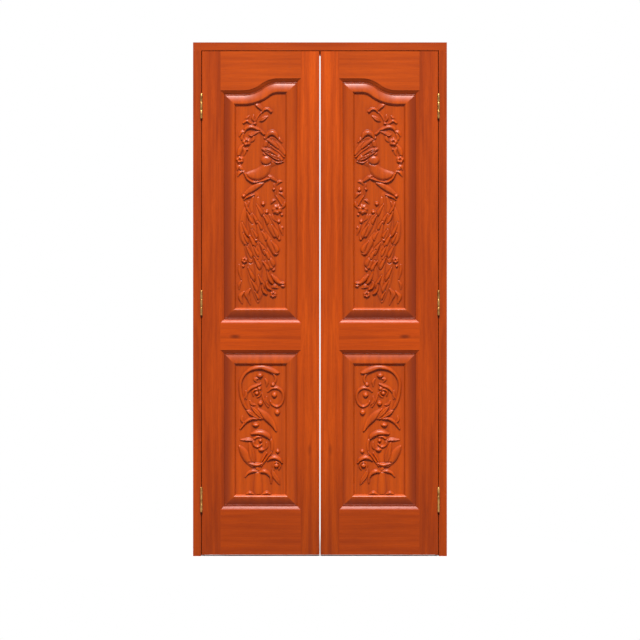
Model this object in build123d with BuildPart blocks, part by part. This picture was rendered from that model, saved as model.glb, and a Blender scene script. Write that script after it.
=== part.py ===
"""Teak double door: two carved leaves in a slim rebated frame, hung on butt hinges.

Millimetres. +X is to the right of someone who faces the carved side, that side looks toward -Y,
and +Z is up. The origin is on the floor, midway between the jambs and midway through the depth.
Depths called d run back from the front face of the leaves, and insets called t run into a panel
opening from the front edge of its stiles and rails.
"""

import os
from math import atan, degrees, sin

from build123d import *

os.makedirs("parts", exist_ok=True)

# Leaves: together they are a standard 38 by 81 inch door
INCH = 25.4
pair_width = 38 * INCH
leaf_height = 81 * INCH
leaf_thickness = 38
centre_gap = 5
floor_gap = 6
hang_gap = 3

# Stiles and rails, measured to the front edge of their mouldings
stile_face = 3 * INCH
bottom_rail_height = 183
lower_opening_height = 653
middle_rail_height = 111
top_rail_height = 111
arch_rise = 49
arch_run = 143

# Sticking: a swelling slope on the front edges of stiles and rails, a plain chamfer on their backs
sticking_width = 14
sticking_depth = 9
sticking_step = 1.5
sticking_facets = 4
sticking_curve = 1.3
groove_front = 13
groove_width = 12
groove_inset = 4

# Panels, which float in the grooves
tongue_inset = 6
shoulder_inset = 14.5
shoulder_depth = 10.5
bead_width = 5.5
bead_height = 1.8
bevel_inset = 21
bevel_curve = 1.55
bevel_shares = [0, 0.4, 1]
crest_inset = 52
crest_width = 2
crest_depth = 3
field_inset = 62
field_depth = 11
back_bevel_width = 40
back_shoulder_depth = 27
back_field_depth = 33

# Carving, left standing on the sunk field
carving_root = 0.5
blade_corners = [0.25, 0.5, 0.75]
berry_sides = 6
berry_height = 6

# Through tenons in the plane of the groove, as (height of the middle, width), and their wedges
bottom_tenons = [(50, 50), (133, 50)]
middle_tenons = [(55.5, 70)]
top_tenons = [(-60, 70)]
wedge_length = 60
wedge_butt = 5

# Frame
frame_depth = 76
frame_face = 33
rebate_width = 12
stop_gap = 1
bridle_thickness = 20
bridle_inset = 8
fixing_radius = 4
fixing_heights = [120, 1980]

# Butt hinges, three for each leaf
hinge_length = 100
hinge_end_distance = 225
plate_thickness = 2.4
plate_width = 28
barrel_radius = 4.8
barrel_clearance = 0.4
pin_radius = 3
pin_fit = 0.05
pin_head_radius = 4.4
pin_head_height = 2.5
knuckle_count = 3
knuckle_gap = 0.3
barrel_sides = 10

# Planes and lines that follow from the sizes above
hinge_reach = 2 * barrel_radius + barrel_clearance
front_y = (hinge_reach - frame_depth) / 2
stop_y = front_y + leaf_thickness + stop_gap
frame_back_y = front_y + frame_depth
leaf_bottom = floor_gap
leaf_top = floor_gap + leaf_height
hinge_edge_x = -pair_width / 2
meeting_edge_x = -centre_gap / 2
opening_left = hinge_edge_x + stile_face
opening_right = meeting_edge_x - stile_face
opening_middle = (opening_left + opening_right) / 2
lower_bottom = leaf_bottom + bottom_rail_height
lower_top = lower_bottom + lower_opening_height
upper_bottom = lower_top + middle_rail_height
arch_high = leaf_top - top_rail_height
arch_low = arch_high - arch_rise
arch_start = opening_middle - arch_run / 2
arch_end = opening_middle + arch_run / 2
arch_angle = 2 * atan(arch_rise / arch_run)
arch_radius = arch_run / (2 * sin(arch_angle))
back_layer = leaf_thickness - sticking_depth
groove_back = groove_front + groove_width
rebate_x = hinge_edge_x - hang_gap
stop_x = rebate_x + rebate_width
frame_outer_x = rebate_x - frame_face
rebate_top = leaf_top + hang_gap
stop_top = rebate_top - rebate_width
frame_top = rebate_top + frame_face
pin_x = hinge_edge_x - hang_gap / 2
pin_y = front_y - barrel_radius - barrel_clearance
knuckle_pitch = hinge_length / knuckle_count
hinge_heights = [
    leaf_bottom + hinge_end_distance,
    (leaf_bottom + leaf_top) / 2,
    leaf_top - hinge_end_distance,
]
tenons = [(leaf_bottom + height, width) for height, width in bottom_tenons]
tenons += [(lower_top + height, width) for height, width in middle_tenons]
tenons += [(leaf_top + height, width) for height, width in top_tenons]


def at_depth(d):
    """A vertical plane facing the viewer, d behind the front face of the leaves."""
    return Plane.XZ.offset(-(front_y + d))


def save(piece, name):
    piece.label = name
    export_step(piece, f"parts/{name}.step")


def save_both_sides(piece, name):
    """Write a left-hand piece and its mirror image."""
    save(piece, f"left_{name}")
    with BuildPart() as twin:
        mirror(piece, about=Plane.YZ)
    save(twin.part, f"right_{name}")


def lower_outline(t, bottom_t=None):
    """The lower opening's outline, moved inward by t."""
    bottom = lower_bottom + (t if bottom_t is None else bottom_t)
    with BuildLine() as outline:
        Polyline(
            (opening_left + t, bottom),
            (opening_right - t, bottom),
            (opening_right - t, lower_top - t),
            (opening_left + t, lower_top - t),
            close=True,
        )
    return outline.line


def upper_outline(t, bottom_t=None):
    """The upper opening's outline, moved inward by t: its arch is two equal arcs."""
    bottom = upper_bottom + (t if bottom_t is None else bottom_t)
    turn = degrees(arch_angle)
    with BuildLine() as outline:
        Polyline(
            (arch_start, arch_low - t),
            (opening_left + t, arch_low - t),
            (opening_left + t, bottom),
            (opening_right - t, bottom),
            (opening_right - t, arch_high - t),
            (arch_end, arch_high - t),
        )
        CenterArc((arch_end, arch_high - arch_radius), arch_radius - t, 90, turn)
        CenterArc((arch_start, arch_low + arch_radius), arch_radius + t, -90, turn)
    return outline.line


def slab(line, front, back):
    """A flat layer with this outline between two depths."""
    with BuildPart() as layer:
        with BuildSketch(at_depth(back)):
            add(line)
            make_face()
        extrude(amount=back - front)
    return layer.part


def polygon_slab(points, front, back):
    """A flat layer between two depths with these corners, as (x, z)."""
    with BuildLine() as outline:
        Polyline(*points, close=True)
    return slab(outline.line, front, back)


def stepped_loft(outline, steps):
    """A solid whose outline moves in or out from step to step, each (inset, depth)."""
    with BuildPart() as body:
        for inset, depth in steps:
            with BuildSketch(at_depth(depth)):
                add(outline(inset))
                make_face()
        loft(ruled=True)
    return body.part


def opening_cutter(outline):
    """What is cut from stiles and rails round one opening: mouldings, gap and groove."""
    drop = sticking_depth - sticking_step
    shares = [i / sticking_facets for i in range(sticking_facets + 1)]
    slope = [(sticking_width * s, sticking_step + drop * s**sticking_curve) for s in shares]
    back_chamfer = [(sticking_width, back_layer), (0, leaf_thickness)]
    with BuildPart() as cutter:
        add(slab(outline(0), -1, sticking_step))
        add(stepped_loft(outline, slope))
        add(slab(outline(sticking_width), sticking_depth, back_layer))
        add(slab(outline(groove_inset), groove_front, groove_back))
        add(stepped_loft(outline, back_chamfer))
        add(slab(outline(0), leaf_thickness, leaf_thickness + 1))
    return cutter.part


def mortise(edge_x, inward, height, width):
    """A through mortise in a stile, flared toward its outer edge to take two wedges."""
    inner_x = edge_x + inward * (stile_face + sticking_width)
    neck_x = edge_x + inward * wedge_length
    half = width / 2
    points = [
        (inner_x, height - half),
        (neck_x, height - half),
        (edge_x, height - half - wedge_butt),
        (edge_x, height + half + wedge_butt),
        (neck_x, height + half),
        (inner_x, height + half),
    ]
    return polygon_slab(points, groove_front, groove_back)


def stile(edge_x, inward, cutters):
    """A full-height stile: its mouldings are mitred to those of the rails."""
    face_x = edge_x + inward * stile_face
    inner_x = face_x + inward * sticking_width
    edge_points = [(edge_x, leaf_bottom), (edge_x, leaf_top)]
    face_points = [(face_x, leaf_top), (face_x, leaf_bottom)]
    core_points = [(inner_x, leaf_top), (inner_x, leaf_bottom)]
    arch_end_height = arch_low if inward > 0 else arch_high
    openings = [(lower_bottom, lower_top), (upper_bottom, arch_end_height)]
    with BuildPart() as body:
        add(polygon_slab(edge_points + face_points, 0, leaf_thickness))
        add(polygon_slab(edge_points + core_points, sticking_depth, back_layer))
        for bottom, top in openings:
            lip = [
                (face_x, bottom),
                (inner_x, bottom + sticking_width),
                (inner_x, top - sticking_width),
                (face_x, top),
            ]
            add(polygon_slab(lip, 0, sticking_depth))
            add(polygon_slab(lip, back_layer, leaf_thickness))
        for cutter in cutters:
            add(cutter, mode=Mode.SUBTRACT)
        for height, width in tenons:
            add(mortise(edge_x, inward, height, width), mode=Mode.SUBTRACT)
    return body.part


def rail(face_outline, core_bottom, core_top, own_tenons, cutters):
    """A rail: full faces to the stiles, a core between their grooved edges, and tenons."""
    core_left = opening_left + sticking_width
    core_right = opening_right - sticking_width
    core = [
        (core_left, core_bottom),
        (core_right, core_bottom),
        (core_right, core_top),
        (core_left, core_top),
    ]
    with BuildPart() as body:
        add(polygon_slab(face_outline, 0, sticking_depth))
        add(polygon_slab(core, sticking_depth, back_layer))
        add(polygon_slab(face_outline, back_layer, leaf_thickness))
        for cutter in cutters:
            add(cutter, mode=Mode.SUBTRACT)
        for height, width in own_tenons:
            tenon = [
                (hinge_edge_x, height - width / 2),
                (meeting_edge_x, height - width / 2),
                (meeting_edge_x, height + width / 2),
                (hinge_edge_x, height + width / 2),
            ]
            add(polygon_slab(tenon, groove_front, groove_back))
    return body.part


def bottom_rail(cutters):
    face_outline = [
        (opening_left, leaf_bottom),
        (opening_right, leaf_bottom),
        (opening_right, lower_bottom),
        (opening_right - sticking_width, lower_bottom + sticking_width),
        (opening_left + sticking_width, lower_bottom + sticking_width),
        (opening_left, lower_bottom),
    ]
    return rail(face_outline, leaf_bottom, lower_bottom + sticking_width, tenons[:2], cutters)


def middle_rail(cutters):
    low = lower_top - sticking_width
    high = upper_bottom + sticking_width
    face_outline = [
        (opening_left, lower_top),
        (opening_left + sticking_width, low),
        (opening_right - sticking_width, low),
        (opening_right, lower_top),
        (opening_right, upper_bottom),
        (opening_right - sticking_width, high),
        (opening_left + sticking_width, high),
        (opening_left, upper_bottom),
    ]
    return rail(face_outline, low, high, tenons[2:3], cutters)


def top_rail(cutters):
    low = arch_low - sticking_width
    face_outline = [
        (opening_left, arch_low),
        (opening_left + sticking_width, low),
        (opening_right - sticking_width, low),
        (opening_right - sticking_width, arch_high - sticking_width),
        (opening_right, arch_high),
        (opening_right, leaf_top),
        (opening_left, leaf_top),
    ]
    return rail(face_outline, low, leaf_top, tenons[3:], cutters)


def wedges():
    """Pairs of wedges that lock the through tenons in both stiles of one leaf."""
    with BuildPart() as body:
        for edge_x, inward in ((hinge_edge_x, 1), (meeting_edge_x, -1)):
            for height, width in tenons:
                for up in (-1, 1):
                    side = height + up * width / 2
                    points = [
                        (edge_x, side),
                        (edge_x + inward * wedge_length, side),
                        (edge_x, side + up * wedge_butt),
                    ]
                    add(polygon_slab(points, groove_front, groove_back))
    return body.part


def bare_panel(outline):
    """A floating panel: tongue, bead, swelling bevel, narrow crest and sunk field."""
    bevel_run = crest_inset - bevel_inset
    bevel_rise = shoulder_depth - crest_depth
    bevel = [
        (bevel_inset + bevel_run * s, shoulder_depth - bevel_rise * (1 - (1 - s) ** bevel_curve))
        for s in bevel_shares
    ]
    bead_middle = shoulder_inset + bead_width / 2
    bead = [
        (shoulder_inset, shoulder_depth),
        (shoulder_inset + bead_width / 5, shoulder_depth - bead_height * 0.7),
        (bead_middle, shoulder_depth - bead_height),
    ]
    pocket_edge = crest_inset + crest_width
    step = field_inset - pocket_edge
    fall = field_depth - crest_depth
    pocket = [
        (field_inset, field_depth),
        (pocket_edge + step * 0.4, crest_depth + fall * 0.3),
        (pocket_edge, crest_depth),
    ]
    back_bevel = [
        (shoulder_inset, back_shoulder_depth),
        (shoulder_inset + back_bevel_width, back_field_depth),
    ]
    with BuildPart() as body:
        add(slab(outline(tongue_inset, groove_inset), groove_front, groove_back))
        add(slab(outline(shoulder_inset), shoulder_depth, back_shoulder_depth))
        add(stepped_loft(outline, bead))
        bead_core = slab(outline(shoulder_inset + bead_width), 0, shoulder_depth)
        add(bead_core, mode=Mode.SUBTRACT)
        add(stepped_loft(outline, bevel))
        add(stepped_loft(outline, pocket), mode=Mode.SUBTRACT)
        add(stepped_loft(outline, back_bevel))
    return body.part


def carving_plane(bottom, d):
    """A plane at a depth, centred on the middle of a field's bottom edge."""
    origin = (opening_middle, front_y + d, bottom)
    return Plane(origin=origin, x_dir=(1, 0, 0), z_dir=(0, -1, 0))


def blade_outline(start, end, bow_out, bow_in):
    """Corners of a leaf-like shape between two bowed sides."""
    run = end - start
    across = Vector(-run.Y, run.X).normalized()

    def side_point(share, bow):
        return start + run * share + across * bow * 4 * share * (1 - share)

    outer = [side_point(share, bow_out) for share in blade_corners]
    inner = [side_point(share, bow_in) for share in reversed(blade_corners)]
    return [start, *outer, end, *inner]


def carved_panel(panel, bottom, blades, berries):
    """A panel with leaf shapes and round berries standing up from its field."""
    floor = carving_plane(bottom, field_depth + carving_root)
    with BuildPart() as body:
        add(panel)
        for start, end, bow_out, bow_in, height in blades:
            with BuildSketch(floor):
                with BuildLine():
                    corners = blade_outline(Vector(*start), Vector(*end), bow_out, bow_in)
                    Polyline(*corners, close=True)
                make_face()
            extrude(amount=height + carving_root)
        for across, up, radius in berries:
            with BuildSketch(floor):
                with Locations((across, up)):
                    RegularPolygon(radius, berry_sides)
            extrude(amount=berry_height + carving_root)
    return body.part


def upper_panel():
    """A peacock in a wreath, with a long hanging tail, a sprig above it and flowers beside it.

    Each blade is (start, end, outer bow, inner bow, height): the two bows are measured to the
    left of the line from start to end. Each berry is (across, up, radius).
    """
    sprig = [
        ((11, 806), (-19, 835), 7, -7, 4),
        ((13, 808), (48, 798), 13, 3, 5),
        ((-5, 761), (30, 783), 6, -8, 4),
        ((7, 804), (-23, 755), -4, -11, 4),
        ((-26, 751), (-70, 761), -3, -12, 5),
    ]
    wreath = [
        ((-68, 716), (23, 687), 36, 25, 5),
        ((-46, 707), (-7, 718), 5, -7, 4),
        ((-81, 659), (-89, 628), 7, -7, 4),
    ]
    bird = [
        ((19, 700), (73, 692), 20, 2, 7),
        ((19, 689), (97, 636), 11, -4, 5),
        ((11, 665), (99, 618), 11, -7, 4),
        ((7, 645), (89, 608), 16, -7, 7),
        ((-3, 581), (44, 616), 17, -17, 6),
        ((-68, 555), (38, 532), 18, -28, 4.5),
        ((-68, 553), (38, 530), -29, -37, 6),
        ((32, 540), (68, 514), 7, -5, 5),
        ((11, 510), (-75, 457), 11, -10, 6),
    ]
    tail = [
        ((-40, 448), (-50, 183), -5, -38, 4),
        ((-34, 452), (-26, 211), 12, -17, 5),
        ((-13, 452), (21, 211), 17, -9, 6),
        ((15, 383), (77, 211), 10, -16, 7),
        ((34, 383), (68, 273), 14, 1, 5),
        ((23, 277), (54, 154), 15, -10, 4),
        ((-50, 171), (-13, 23), 4, -16, 4),
        ((-19, 203), (-11, 23), 15, -14, 5),
        ((32, 162), (-7, 23), 14, -11, 4),
    ]
    leaves = [
        ((-42, 72), (-79, 40), 7, -5, 5),
        ((-66, 44), (-44, 13), 5, -5, 4),
        ((52, 126), (81, 97), 7, -7, 6),
    ]
    berries = [
        (-23, 749, 6),
        (-57, 678, 12),
        (-86, 604, 12),
        (-75, 455, 8),
        (9, 426, 8),
        (55, 483, 7),
        (81, 484, 7),
        (70, 414, 19),
        (74, 354, 8),
        (-68, 195, 14),
        (54, 56, 14),
        (86, 91, 10),
    ]
    blades = sprig + wreath + bird + tail + leaves
    return carved_panel(bare_panel(upper_outline), upper_bottom + field_inset, blades, berries)


def lower_panel():
    """Two stacked scrolls over a tulip and a trunk, with leaves and berries."""
    big_scroll = [
        ((-48, 340), (-83, 465), 13, 3, 5),
        ((-85, 444), (7, 523), 23, 12, 5),
        ((-17, 520), (77, 493), 14, -1, 8),
        ((32, 512), (68, 452), 11, 5, 4),
        ((-60, 391), (-5, 452), 17, 7, 4),
        ((28, 428), (97, 403), 17, 7, 5),
        ((95, 412), (32, 385), 21, 13, 4),
    ]
    acanthus = [
        ((-56, 346), (-13, 316), 7, -7, 7),
        ((-30, 356), (11, 320), 7, -5, 6),
        ((-15, 342), (68, 260), 20, 3, 7),
        ((7, 312), (-83, 271), -6, -15, 6),
    ]
    small_scroll = [
        ((-36, 248), (38, 228), 12, -2, 8),
        ((34, 240), (32, 150), 16, 8, 4),
        ((-26, 217), (-87, 222), 6, -2, 5),
    ]
    tulip = [
        ((-89, 199), (-32, 115), 12, -18, 5),
        ((-46, 209), (-26, 121), 8, -7, 4),
        ((-48, 128), (7, 123), -1, -15, 7),
        ((44, 177), (-9, 105), 4, -4, 5),
        ((30, 128), (89, 123), 23, 12, 6),
        ((48, 101), (75, 48), -1, -13, 4),
    ]
    trunk = [
        ((-11, 93), (-64, 66), -2, -11, 4),
        ((-3, 93), (44, 40), 18, 7, 5),
        ((-3, 111), (-6, -7), 16, -16, 5),
    ]
    berries = [
        (-2, 486, 12),
        (50, 450, 8),
        (-7, 433, 8),
        (-16, 412, 8),
        (56, 407, 10),
        (0, 373, 10),
        (68, 336, 10),
        (-21, 285, 10),
        (-9, 213, 15),
        (3, 184, 10),
        (64, 119, 10),
    ]
    blades = big_scroll + acanthus + small_scroll + tulip + trunk
    return carved_panel(bare_panel(lower_outline), lower_bottom + field_inset, blades, berries)


def hinge_plates(plate_side):
    """Flaps with their knuckles, one at each hinge: side -1 on the jamb, +1 on the stile."""
    near = hang_gap / 2
    reach = front_y + plate_width - pin_y
    own = range(0, knuckle_count, 2) if plate_side < 0 else range(1, knuckle_count, 2)
    flap_x = pin_x + plate_side * (near + plate_thickness / 2)
    with BuildPart() as flaps:
        for height in hinge_heights:
            base = height - hinge_length / 2
            with BuildSketch(Plane.XY.offset(base)):
                with Locations((flap_x, pin_y + reach / 2)):
                    Rectangle(plate_thickness, reach)
            extrude(amount=hinge_length)
            for index in range(knuckle_count):
                bottom = base + index * knuckle_pitch
                if index in own:
                    trim_below = knuckle_gap / 2 if index > 0 else 0
                    trim_above = knuckle_gap / 2 if index < knuckle_count - 1 else 0
                    with BuildSketch(Plane.XY.offset(bottom + trim_below)):
                        with Locations((pin_x, pin_y)):
                            RegularPolygon(barrel_radius, barrel_sides)
                    extrude(amount=knuckle_pitch - trim_below - trim_above)
                else:
                    with BuildSketch(Plane.XY.offset(bottom - knuckle_gap / 2)):
                        with Locations((pin_x, pin_y)):
                            Rectangle(2 * reach, 2 * (barrel_radius + barrel_clearance))
                    extrude(amount=knuckle_pitch + knuckle_gap, mode=Mode.SUBTRACT)
            with BuildSketch(Plane.XY.offset(base)):
                with Locations((pin_x, pin_y)):
                    RegularPolygon(pin_radius + pin_fit, barrel_sides, major_radius=False)
            extrude(amount=hinge_length, mode=Mode.SUBTRACT)
    return flaps.part


def hinge_pins():
    """Pins that hang by their heads on the top knuckles."""
    with BuildPart() as pins:
        for height in hinge_heights:
            with BuildSketch(Plane.XY.offset(height - hinge_length / 2)):
                with Locations((pin_x, pin_y)):
                    RegularPolygon(pin_radius, barrel_sides)
            extrude(amount=hinge_length)
            with BuildSketch(Plane.XY.offset(height + hinge_length / 2)):
                with Locations((pin_x, pin_y)):
                    RegularPolygon(pin_head_radius, barrel_sides)
            extrude(amount=pin_head_height)
    return pins.part


def cut_hinge_seats(body, plate_side):
    """Let the hinge plates into a jamb or stile."""
    near_x = pin_x + plate_side * hang_gap / 2
    with BuildPart() as seated:
        add(body)
        for height in hinge_heights:
            with Locations((near_x, front_y + plate_width / 2, height)):
                Box(2 * plate_thickness, plate_width, hinge_length, mode=Mode.SUBTRACT)
    return seated.part


def jamb():
    """A rebated post: it stops the leaf, and its tongue goes up through the head."""
    with BuildPart() as post:
        with BuildSketch(Plane.XY):
            with BuildLine():
                Polyline(
                    (frame_outer_x, stop_y),
                    (stop_x, stop_y),
                    (stop_x, frame_back_y),
                    (frame_outer_x, frame_back_y),
                    close=True,
                )
            make_face()
        extrude(amount=stop_top)
        front_width = rebate_x - frame_outer_x
        front_middle = (frame_outer_x + rebate_x) / 2
        with BuildSketch(Plane.XY):
            with Locations((front_middle, (front_y + stop_y) / 2)):
                Rectangle(front_width, stop_y - front_y)
        extrude(amount=rebate_top)
        with BuildSketch(Plane.XY.offset(rebate_top)):
            with Locations((front_middle, front_y + bridle_inset + bridle_thickness / 2)):
                Rectangle(front_width, bridle_thickness)
        extrude(amount=frame_top - rebate_top)
        for height in fixing_heights:
            face = Plane(origin=(rebate_x, (front_y + stop_y) / 2, height), z_dir=(1, 0, 0))
            with Locations(face):
                Hole(fixing_radius, frame_face)
    return cut_hinge_seats(post.part, -1)


def head():
    """The cross piece over both leaves, slotted at its ends for the jambs' tongues."""
    with BuildPart() as beam:
        with BuildSketch(Plane.YZ.offset(frame_outer_x)):
            with BuildLine():
                Polyline(
                    (front_y, rebate_top),
                    (stop_y, rebate_top),
                    (stop_y, stop_top),
                    (frame_back_y, stop_top),
                    (frame_back_y, frame_top),
                    (front_y, frame_top),
                    close=True,
                )
            make_face()
        extrude(amount=-2 * frame_outer_x)
        for side in (-1, 1):
            slot_x = side * (rebate_x + frame_outer_x) / 2
            slot_y = front_y + bridle_inset + bridle_thickness / 2
            with Locations((slot_x, slot_y, (rebate_top + frame_top) / 2)):
                Box(frame_face, bridle_thickness, frame_face, mode=Mode.SUBTRACT)
    return beam.part


# Leaf frame
opening_cutters = [opening_cutter(lower_outline), opening_cutter(upper_outline)]
hinge_stile = cut_hinge_seats(stile(hinge_edge_x, 1, opening_cutters), 1)
save_both_sides(hinge_stile, "hinge_stile")
save_both_sides(stile(meeting_edge_x, -1, opening_cutters), "meeting_stile")
save_both_sides(bottom_rail(opening_cutters), "bottom_rail")
save_both_sides(middle_rail(opening_cutters), "middle_rail")
save_both_sides(top_rail(opening_cutters), "top_rail")
save_both_sides(wedges(), "tenon_wedges")

# Panels
save_both_sides(upper_panel(), "upper_panel")
save_both_sides(lower_panel(), "lower_panel")

# Hinges
save_both_sides(hinge_plates(-1), "hinge_frame_plates")
save_both_sides(hinge_plates(1), "hinge_leaf_plates")
save_both_sides(hinge_pins(), "hinge_pins")

# Frame
save_both_sides(jamb(), "jamb")
save(head(), "frame_head")
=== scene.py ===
"""Looks of a carved teak double door: varnished timber, hand-carved panels and brass hinges.

The carving is drawn in units of 4.086 mm over the left leaf, x to the right and y down. Meshes are
laid out in millimetres; materials, lamps and the camera are in metres. Depths called d run back from
the front face of the leaves, and insets called t run into a panel opening. The right leaf mirrors
the left one.
"""

import math

import bpy
import numpy as np
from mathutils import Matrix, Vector


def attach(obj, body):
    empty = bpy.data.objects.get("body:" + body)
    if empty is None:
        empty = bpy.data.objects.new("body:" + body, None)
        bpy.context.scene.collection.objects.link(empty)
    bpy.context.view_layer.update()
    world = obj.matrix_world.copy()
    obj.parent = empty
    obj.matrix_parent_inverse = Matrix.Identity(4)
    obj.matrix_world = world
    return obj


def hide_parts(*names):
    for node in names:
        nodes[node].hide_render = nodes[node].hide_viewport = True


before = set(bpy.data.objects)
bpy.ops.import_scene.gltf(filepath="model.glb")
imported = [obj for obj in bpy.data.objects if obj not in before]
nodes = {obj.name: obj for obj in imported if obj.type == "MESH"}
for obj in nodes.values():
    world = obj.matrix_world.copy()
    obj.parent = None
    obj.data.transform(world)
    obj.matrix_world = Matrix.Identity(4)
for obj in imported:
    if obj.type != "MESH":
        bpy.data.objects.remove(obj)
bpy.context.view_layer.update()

MM = 0.001
UNIT = 4.086

# The pair of leaves
PAIR_WIDTH, LEAF_HEIGHT = 965.2, 2057.4
CENTRE_GAP, HANG_GAP, FLOOR_GAP = 5.0, 3.0, 6.0
FRONT_Y = -33.0
STILE, BOTTOM_RAIL, MIDDLE_RAIL, TOP_RAIL = 76.2, 183.0, 111.0, 111.0
LOWER_OPENING = 653.0
ARCH_RISE, ARCH_RUN = 49.0, 143.0
ARCH_POINTS = 15

# The openings that they leave for the panels
LEAF_MIDDLE = FLOOR_GAP + LEAF_HEIGHT / 2
OPEN_LEFT, OPEN_RIGHT = STILE - PAIR_WIDTH / 2, -STILE - CENTRE_GAP / 2
MIDDLE = (OPEN_LEFT + OPEN_RIGHT) / 2
LOWER_BOTTOM = FLOOR_GAP + BOTTOM_RAIL
LOWER_TOP = LOWER_BOTTOM + LOWER_OPENING
UPPER_BOTTOM = LOWER_TOP + MIDDLE_RAIL
ARCH_HIGH = FLOOR_GAP + LEAF_HEIGHT - TOP_RAIL
ARCH_LOW = ARCH_HIGH - ARCH_RISE
ARCH_START, ARCH_END = MIDDLE - ARCH_RUN / 2, MIDDLE + ARCH_RUN / 2
ARCH_TURN = 2 * math.atan(ARCH_RISE / ARCH_RUN)
ARCH_RADIUS = ARCH_RUN / (2 * math.sin(ARCH_TURN))

# The profile of a panel
TONGUE_T, TONGUE_FRONT_D, TONGUE_BACK_D = 6.0, 13.0, 25.0
SHOULDER_T, SHOULDER_D, BACK_SHOULDER_D = 14.5, 10.5, 27.0
BEAD_END_T, BEAD_RISE = 20.0, 0.8
BEVEL_T, BEVEL_CURVE = 21.0, 1.55
CREST_T, CREST_END_T, CREST_D = 52.0, 54.0, 3.0
POCKET_RUN, POCKET_DROP, POCKET_CURVE = 8.3, 8.35, 1.3
FIELD_T, FIELD_D = 62.0, 11.0
BACK_FIELD_T, BACK_FIELD_D = 54.5, 33.0

# The drawing of the carving: middle line of the fields, the foot of each, and how drawn half widths
# are widened
FIELD_MIDDLE_X = 260.25
FIELD_FOOT_Y = {"upper": 307.74, "lower": 494.72}
POINTS_PER_SPAN = 8
WIDENING, EXTRA_HALF, LEAST_HALF = 1.12, 0.1, 0.15

# How a form is cut where it overlaps another: the groove round it and a line of painted shade in the
# groove
GROOVE_WIDTH, GROOVE_DEPTH, FULL_GROOVE_HEIGHT = 2.6, 2.2, 2.0
LINE_OUTSIDE, LINE_WIDTH, EDGE = 1.2, 1.7, 0.4
WALL_RUN, WALL_START = 1.1, 0.35
ROOM = 2.0

# The sections of a stroke, as shares of its height
CROWN_POWER, ROUND_EDGE = 0.85, 0.25
LEAF_EDGE, LEAF_POWER, LEAF_TWIST = 0.42, 0.8, 0.25
SHED_EDGE, SHED_LEVEL, SHED_FALL = 0.35, 0.72, 0.42
FEATHER_ROOT, FEATHER_SLOPE, FEATHER_TIP, TIP_POWER = 0.42, 0.2, 0.38, 9
FEATHER_EDGE, FEATHER_CROWN = 0.2, 0.75
BARB_HEIGHT, BARB_PITCH, BARB_SLANT = 0.05, 5.2, 0.9
SHAFT_DEPTH, SHAFT_WIDTH = 0.1, 0.12
LEAN_LEVEL, LEAN_FALL, LEAN_RUN, LEAN_POWER = 0.62, 0.42, 0.42, 0.8
FORM_SHARE, FORM_FALL, LEAN_SHARE = 0.5, 0.3, 0.55

# Domes with petals and hollows
SCALLOP, PETAL_TURN, PETAL_DEPTH, PETAL_ONSET = 0.07, 0.6, 0.18, 1.6
HOLLOW_DEPTH, HOLLOW_POWER = 0.95, 4

# The relief as a whole: its height, the rim where it dies out, the painted shade in its hollows,
# along its cut lines and beside its rim, and the painted highlight on its raised parts
HEIGHT_GAIN, HEIGHT_CAP, CAP_POWER = 1.4, 9.3, 5
SMOOTHED = 0.7
FIELD_OVERLAP, RIM_FADE = 0.5, 1.5
NEAR_REACH, FAR_REACH, NEAR_SHARE, FULL_RECESS = 3, 8, 0.75, 1.6
HOLLOW_LOW, HOLLOW_FADE, LEAST_HOLLOW, LINE_SHADE = 1.25, 4.0, 0.3, 0.45
RIM_SHADE, RIM_SHADE_WIDTH, BARE_HEIGHT = 0.8, 2.5, 1.0


def spline(points):
    """A smooth line through (x, y, half width) points."""
    p = np.array(points, float)
    p = np.vstack([2 * p[0] - p[1], p, 2 * p[-1] - p[-2]])
    t = np.linspace(0, 1, POINTS_PER_SPAN, endpoint=False)[:, None]
    out = []
    for a, b, c, d in zip(p[:-3], p[1:-2], p[2:-1], p[3:]):
        out.append(0.5 * (2 * b + (c - a) * t + (2 * a - 5 * b + 4 * c - d) * t**2
                          + (3 * b - a - 3 * c + d) * t**3))
    return np.vstack([*out, p[-2][None]])


def section(kind, q, side, along, share):
    """Share of the full height at q half widths from the middle line.

    side is -1 or 1, along is the distance from the start of the stroke and share its part of the
    whole length.
    """
    inner = np.clip(q, 0, 1)
    crown = np.cos(inner * np.pi / 2) ** CROWN_POWER
    if kind == "leaf":
        # hollow along the middle, with one half higher than the other
        fold = np.sin(np.pi * inner) ** LEAF_POWER * (1 - LEAF_TWIST + LEAF_TWIST * side)
        return LEAF_EDGE + (1 - LEAF_EDGE) * fold
    if kind == "shed":
        # a roof that falls off to one side
        fall = SHED_LEVEL - SHED_FALL * side * q
        return np.clip(SHED_EDGE + (1 - SHED_EDGE) * crown * fall, 0, 1)
    if kind == "feather":
        # a sunk shaft and slanting barbs, rising to a tip that stands over the next feather
        rise = FEATHER_ROOT + FEATHER_SLOPE * share + FEATHER_TIP * share**TIP_POWER
        barb = BARB_HEIGHT * np.cos(2 * np.pi * (along / BARB_PITCH - BARB_SLANT * q))
        shaft = SHAFT_DEPTH * np.exp(-((q / SHAFT_WIDTH) ** 2))
        return rise * (FEATHER_EDGE + FEATHER_CROWN * crown - shaft + barb * crown)
    return ROUND_EDGE + (1 - ROUND_EDGE) * crown


def lean(form, q, up):
    """Tip a form so that its upper side slopes long and its lower side drops short.

    up runs from -1 at its lowest side to 1 at its highest.
    """
    up = np.clip(up, -1, 1)
    plane = (LEAN_LEVEL - LEAN_FALL * up) * np.clip((1 - q) / LEAN_RUN, 0, 1) ** LEAN_POWER
    return FORM_SHARE * form * (1 - FORM_FALL * up) + LEAN_SHARE * plane


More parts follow.
